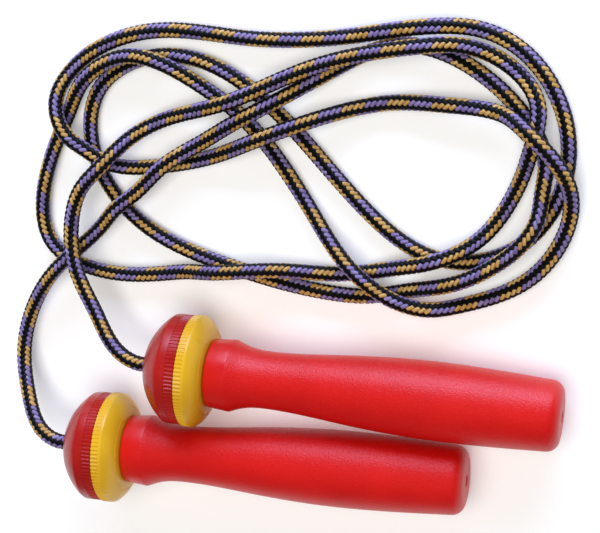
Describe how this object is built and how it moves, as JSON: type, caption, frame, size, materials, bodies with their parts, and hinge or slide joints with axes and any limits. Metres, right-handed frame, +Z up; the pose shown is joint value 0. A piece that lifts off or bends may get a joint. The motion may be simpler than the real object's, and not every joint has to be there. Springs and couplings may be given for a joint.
{
  "type": "skipping rope",
  "caption": "Skipping rope: braided rope, loosely coiled, with a turning waisted plastic grip behind a domed cap on each end.",
  "frame": {"origin": "on the ground, under the middle of the two handles' bounding box", "axes": "+X along the handles from caps to grip ends (within 7 degrees), +Y from the handles towards the rope's coil, +Z up"},
  "size_m": [0.2153, 0.1745, 0.0402],
  "materials": {
    "rope": "braided synthetic, black with violet and gold strands",
    "grip": "moulded red plastic, fine grain, smooth glossy collar",
    "cap": "glossy red",
    "base_disc": "satin yellow, ribbed rim",
    "bush": "natural white",
    "steel": "zinc plated"
  },
  "bodies": {
    "rope_and_heads": {"rope": "rope", "base_disc_a": "base_disc", "cap_a": "cap", "spindle_a": "steel", "thrust_washer_a": "steel", "retaining_washer_a": "steel", "push_on_clip_a": "steel", "rope_washer_a": "steel", "rope_knot_a": "rope", "base_disc_b": "base_disc", "cap_b": "cap", "spindle_b": "steel", "thrust_washer_b": "steel", "retaining_washer_b": "steel", "push_on_clip_b": "steel", "rope_washer_b": "steel", "rope_knot_b": "rope"},
    "grip_a": {"grip_a": "grip", "neck_bush_a": "bush"},
    "grip_b": {"grip_b": "grip", "neck_bush_b": "bush"}
  },
  "joints": [
    {"name": "grip_a_spin", "type": "hinge", "parent": "rope_and_heads", "child": "grip_a", "pos_m": [-0.03227, 0.01499, 0.01968], "axis": [-0.9907, 0.1216, 0.0618], "continuous": true},
    {"name": "grip_b_spin", "type": "hinge", "parent": "rope_and_heads", "child": "grip_b", "pos_m": [-0.06716, -0.01465, 0.01968], "axis": [-0.995, 0.0783, 0.0618], "continuous": true}
  ]
}
